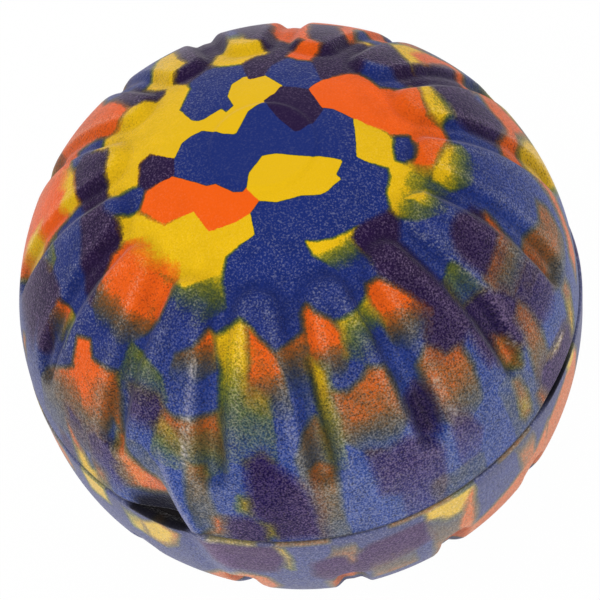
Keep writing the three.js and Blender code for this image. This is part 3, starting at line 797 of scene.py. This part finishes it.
def foam_cover(name, node, upper):
    """One closed half cover of foam, with its marbling on its vertices."""
    rings = cover_rings(upper)
    flip = 1 if upper else -1
    counts = [len(heading) for *_, heading in rings]
    starts = np.cumsum([1] + counts).tolist()
    faces = []
    for i in range(len(rings) - 1):
        faces += strip(starts[i], counts[i], starts[i + 1], counts[i + 1])
    for i in range(counts[0]):
        faces.append((0, starts[0] + i, starts[0] + (i + 1) % counts[0]))
    for i in range(counts[-1]):
        faces.append((starts[-1], starts[-2] + (i + 1) % counts[-1], starts[-2] + i))
    if not upper:
        faces = [face[::-1] for face in faces]
    radius, height, angle, heading = (np.pad(np.concatenate(parts), 1) for parts in zip(*rings))
    height[0], height[-1] = PAD_HEIGHT, COVER_INNER
    vertices = np.stack((radius * cosine(heading), radius * sine(heading), flip * height), axis=1) * MM

    mesh = bpy.data.meshes.new(name)
    mesh.from_pydata(vertices.tolist(), [], faces)
    mesh.polygons.foreach_set("use_smooth", np.ones(len(mesh.polygons), bool))
    for key, values in (("flake", marble(angle, heading, upper)), ("zone", zones(angle, heading, upper))):
        attribute = mesh.attributes.new(key, "FLOAT_VECTOR", "POINT")
        attribute.data.foreach_set("vector", values.astype(np.float32).ravel())
    mesh.update()
    cover = add_object(name, mesh)
    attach(cover, "root")
    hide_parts(node)
    return cover


def linear(colour):
    """A colour in 0 to 255 values, as the shader's linear numbers."""
    shares = [part / 255 for part in colour]
    return [s / 12.92 if s <= 0.04045 else ((s + 0.055) / 1.055) ** 2.4 for s in shares] + [1.0]


def logs(colour):
    """Logarithms of a colour's linear numbers: mixed in these, colours darken as mixed pigments do."""
    return [math.log(part) for part in linear(colour)[:3]]


class Shader:
    """Short calls that add nodes to a new material or world."""

    def __init__(self, name, kind="materials", surface="Principled BSDF"):
        self.block = getattr(bpy.data, kind).new(name)
        self.block.use_nodes = True
        self.tree = self.block.node_tree
        self.surface = self.tree.nodes[surface]

    def add(self, kind, inputs=None, **settings):
        node = self.tree.nodes.new(kind)
        for key, value in settings.items():
            setattr(node, key, value)
        for key, value in (inputs or {}).items():
            self.put(value, node.inputs[key])
        return node

    def put(self, value, socket):
        if isinstance(value, bpy.types.NodeSocket):
            self.tree.links.new(value, socket)
        else:
            socket.default_value = value

    def sum_up(self, operation, *values, clamp=False):
        inputs = dict(enumerate(values))
        return self.add("ShaderNodeMath", inputs, operation=operation, use_clamp=clamp).outputs[0]

    plus = partialmethod(sum_up, "ADD")
    minus = partialmethod(sum_up, "SUBTRACT")
    times = partialmethod(sum_up, "MULTIPLY")
    over = partialmethod(sum_up, "DIVIDE")
    times_plus = partialmethod(sum_up, "MULTIPLY_ADD")
    most = partialmethod(sum_up, "MAXIMUM")
    exponent = partialmethod(sum_up, "EXPONENT")

    def fit(self, value, low, high, to_low=0.0, to_high=1.0):
        inputs = {"Value": value, "From Min": low, "From Max": high, "To Min": to_low, "To Max": to_high}
        return self.add("ShaderNodeMapRange", inputs).outputs["Result"]

    def mix(self, share, first, second, blend="MIX"):
        inputs = {"Factor": share, 6: first, 7: second}
        return self.add("ShaderNodeMix", inputs, data_type="RGBA", blend_type=blend).outputs[2]

    def blend(self, share, first, second):
        inputs = {"Factor": share, 4: first, 5: second}
        return self.add("ShaderNodeMix", inputs, data_type="VECTOR").outputs[1]

    def place(self):
        return self.add("ShaderNodeTexCoord").outputs["Object"]

    def noise(self, size, detail=2.0, roughness=0.5):
        """Noise with humps of about the given size in millimetres."""
        inputs = {"Vector": self.place(), "Scale": 1 / (size * MM), "Detail": detail, "Roughness": roughness}
        return self.add("ShaderNodeTexNoise", inputs).outputs

    def split(self, vector):
        return self.add("ShaderNodeSeparateXYZ", {0: vector}).outputs

    def join(self, parts):
        return self.add("ShaderNodeCombineColor", dict(enumerate(parts))).outputs[0]

    def attribute(self, name):
        return self.split(self.add("ShaderNodeAttribute", attribute_name=name).outputs["Vector"])

    def bump(self, height, distance, strength):
        inputs = {"Height": height, "Distance": distance * MM, "Strength": strength}
        return self.add("ShaderNodeBump", inputs).outputs["Normal"]

    def finish(self, **inputs):
        for key, value in inputs.items():
            self.put(value, self.surface.inputs[key.replace("_", " ")])
        return self.block


def foam_material():
    """Marbled closed-cell foam: crisp flakes where the skin is smooth, grainy and feathered elsewhere."""
    shader = Shader("marbled_foam")
    depths = shader.attribute("flake")
    glints_and_wear, grit, painted_shade = shader.attribute("zone")
    noises, reaches = [], []
    for size, detail, slope, least in FOAM_NOISES:
        noises.append(shader.split(shader.noise(size, detail)["Color"]))
        reaches.append(shader.times_plus(grit, slope, least))
    grain, clump, wobble = noises
    softness = shader.plus(*(shader.fit(grit, *part) for part in EDGE_SOFTNESS))
    purity = shader.fit(grit, 1.05, 1.3, 1.0, 0.84)

    # Flakes over blue, mixed as pigments
    stretch = shader.fit(grit, 1.0, 1.5)
    colour = shader.blend(stretch, logs(BLUE), logs(STRETCHED_BLUE))
    purple = shader.blend(stretch, logs(PURPLE), logs(STRETCHED_PURPLE))
    orange = shader.blend(shader.fit(grit, 0.85, 1.2), logs(ORANGE), logs(STRETCHED_ORANGE))
    top = 0.0
    shares = []
    for i, shade in enumerate((purple, orange, logs(YELLOW))):
        ragged = depths[i]
        for noise, reach in zip(noises, reaches):
            ragged = shader.times_plus(shader.minus(noise[i], 0.5), reach, ragged)
        above = shader.minus(ragged, top)
        edge = shader.plus(shader.over(above, softness), 0.5, clamp=True)
        share = shader.plus(shader.times(edge, purity), shader.fit(above, 1.4, 4.0, 0.0, 0.3), clamp=True)
        colour = shader.blend(share, colour, shade)
        top = shader.most(ragged, top)
        shares.append(share)
    colour = shader.join([shader.exponent(part) for part in shader.split(colour)])
    warm = shader.most(shares[1], shares[2])
    dull = shader.times(shares[0], shader.minus(1.0, warm))

    # Dark pits, painted as shade in the foam's pores, and light and dark clouds
    pore_shade = shader.times(shader.fit(grain[1], 0.46, 0.34), shader.fit(grit, 0.8, 1.2))
    colour = shader.mix(shader.times(pore_shade, PORE_SHADE_SHARE), colour, linear(PORE_SHADE_COLOUR))
    # The fine part of these clouds is painted shading of the grain's bumps, laid over a slow random tone.
    slow = shader.fit(wobble[0], 0.3, 0.7, 0.85, 1.15)
    cloud = shader.times(slow, shader.fit(grain[2], 0.3, 0.7, 0.84, 1.16))
    clouded = shader.times(shader.fit(grit, 0.0, 1.0), shader.fit(warm, 0.0, 1.0, 1.0, 0.5))
    colour = shader.mix(clouded, colour, shader.join([cloud] * 3), "MULTIPLY")

    # Pale specks and haze painted as the grain's glints and sheen, with some wear: in spots on smooth skin
    # and in sand on gritty skin
    spots = shader.fit(shader.times(grain[2], grain[0]), 0.24, 0.46, 0.0, 5.0)
    sand = shader.minus(shader.fit(grain[2], 0.4, 0.72, 0.0, 3.6), spots)
    dots = shader.times_plus(shader.fit(grit, 0.9, 1.25), sand, spots)
    even = shader.fit(glints_and_wear, 0.02, 0.12, 0.0, 0.7)
    dots = shader.times_plus(dots, shader.minus(1.0, even), even)
    pale = shader.times(dots, glints_and_wear)
    fading = shader.plus(*(shader.fit(glints_and_wear, *part) for part in WARM_FADING))
    pale = shader.times_plus(pale, shader.times(warm, fading), pale)
    haze = shader.mix(shader.fit(glints_and_wear, 0.08, 0.22), WHITE, GLINTS_AND_WEAR_HAZE)
    haze = shader.mix(dull, haze, PURPLE_HAZE)
    haze = shader.mix(warm, haze, WARM_HAZE)
    colour = shader.mix(pale, colour, haze, "SCREEN")
    # Painted shade at the lobe feet, in the pocket, in creases and along the seam.
    colour = shader.mix(painted_shade, colour, linear(PAINTED_SHADE_COLOUR))

    height = shader.times_plus(clump[0], BUMP_CLUMPS, grain[2])
    normal = shader.bump(height, BUMP_HEIGHT, shader.fit(grit, 0.0, 0.9, 0.3, 0.8))
    roughness = shader.times_plus(grit, ROUGHNESS_SLOPE, ROUGHNESS_BASE)
    shader.finish(Specular_IOR_Level=0.05, Sheen_Weight=0.3, Sheen_Roughness=0.35, Sheen_Tint=SHEEN_TINT)
    return shader.finish(Base_Color=colour, Roughness=roughness, Normal=normal)


def rubber_material():
    """Moulded black rubber of the core."""
    shader = Shader("core_rubber")
    cloud = shader.noise(size=6.0, detail=3.0)["Fac"]
    fine = shader.noise(size=0.6)["Fac"]
    colour = shader.mix(cloud, linear(RUBBER), linear(PALE_RUBBER))
    roughness = shader.fit(fine, 0.3, 0.7, to_low=0.6, to_high=0.78)
    normal = shader.bump(fine, distance=0.1, strength=0.3)
    return shader.finish(Base_Color=colour, Roughness=roughness, Normal=normal)


def glue_material(name, deep, pale, roughness):
    """A dried film of adhesive or cement, streaked where it was brushed on, with painted shade at the open
    pocket.
    """
    shader = Shader(name)
    streaks = shader.noise(size=3.0, detail=4.0, roughness=0.6)["Fac"]
    colour = shader.mix(streaks, linear(deep), linear(pale))
    ends = {0: shader.place(), 1: POCKET_PLACE}
    to_pocket = shader.add("ShaderNodeVectorMath", ends, operation="DISTANCE").outputs["Value"]
    # Painted shade on the glue seen in the open pocket.
    colour = shader.mix(shader.fit(to_pocket, low=0.011, high=0.007), colour, linear(GLUE_POCKET_SHADE))
    gloss = shader.fit(streaks, 0.3, 0.7, roughness - 0.1, roughness + 0.1)
    normal = shader.bump(streaks, distance=0.2, strength=0.4)
    return shader.finish(Base_Color=colour, Roughness=gloss, Normal=normal)


def dress(material, *names):
    for name in names:
        mesh = nodes[name].data
        mesh.materials.clear()
        mesh.materials.append(material)


def seen_directly(shader):
    """1 for rays from the camera, a reflection or glass, and 0 for light on its way to a surface."""
    rays = shader.add("ShaderNodeLightPath").outputs
    seen = shader.most(rays["Is Camera Ray"], rays["Is Glossy Ray"])
    return shader.most(seen, rays["Is Transmission Ray"])


def white_floor():
    """A plain pale floor under the lower pad, which keeps a soft shadow."""
    mesh = bpy.data.meshes.new("floor")
    sides = ((-1, -1), (1, -1), (1, 1), (-1, 1))
    corners = [(x * FLOOR_HALF, y * FLOOR_HALF, -PAD_HEIGHT * MM) for x, y in sides]
    mesh.from_pydata(corners, [], [(0, 1, 2, 3)])
    floor = add_object("floor", mesh)
    shader = Shader("pale_floor")
    paint = shader.surface.outputs[0]
    glow = shader.add("ShaderNodeEmission").outputs[0]
    share = shader.times(seen_directly(shader), FLOOR_WHITE)
    both = shader.add("ShaderNodeMixShader", {0: share, 1: paint, 2: glow}).outputs[0]
    shader.put(both, shader.tree.nodes["Material Output"].inputs["Surface"])
    mesh.materials.append(shader.finish(Base_Color=FLOOR_COLOUR, Roughness=FLOOR_ROUGHNESS))


def white_world():
    """White where it is seen, and a plain soft light on the object."""
    shader = Shader("studio", "worlds", "Background")
    strength = shader.add("ShaderNodeMix", {0: seen_directly(shader), 2: AMBIENT, 3: 1.0}).outputs[0]
    bpy.context.scene.world = shader.finish(Color=WHITE, Strength=strength)


def soft_light(name, place, size, power):
    """A square soft box aimed at the ball."""
    light = bpy.data.lights.new(name, "AREA")
    light.size = size
    light.energy = power
    lamp = add_object(name, light)
    lamp.location = place
    lamp.rotation_euler = (-Vector(place)).to_track_quat("-Z", "Y").to_euler()


def photo_camera():
    """A long lens at the photograph's angle, rolled as the photograph is."""
    lens = bpy.data.cameras.new("camera")
    lens.lens = LENS
    lens.sensor_width = SENSOR
    lens.shift_x = 0.5 - CENTRE_PIXEL[0] / IMAGE_SIZE
    lens.shift_y = CENTRE_PIXEL[1] / IMAGE_SIZE - 0.5
    camera = add_object("camera", lens)
    tilt = Matrix.Rotation(math.radians(VIEW_TILT), 4, "X")
    roll = Matrix.Rotation(math.radians(-VIEW_ROLL), 4, "Z")
    camera.matrix_world = tilt @ roll @ Matrix.Translation((0, 0, VIEW_DISTANCE))
    bpy.context.scene.camera = camera


bpy.context.scene.view_settings.view_transform = "Standard"
photo_camera()
foam = foam_material()
for cover in (
    foam_cover("upper_foam_cover", "upper_cover", True),
    foam_cover("lower_foam_cover", "lower_cover", False),
):
    cover.data.materials.append(foam)
dress(rubber_material(), "core_front_half", "core_rear_half")
adhesive = glue_material("amber_adhesive", ADHESIVE, PALE_ADHESIVE, roughness=0.45)
dress(adhesive, "cover_seam_bond", "upper_cover_bond", "lower_cover_bond")
dress(glue_material("rubber_cement", CEMENT, PALE_CEMENT, roughness=0.6), "core_joint_cement")
white_floor()
white_world()
for lamp in LAMPS:
    soft_light(*lamp)

bpy.context.view_layer.update()
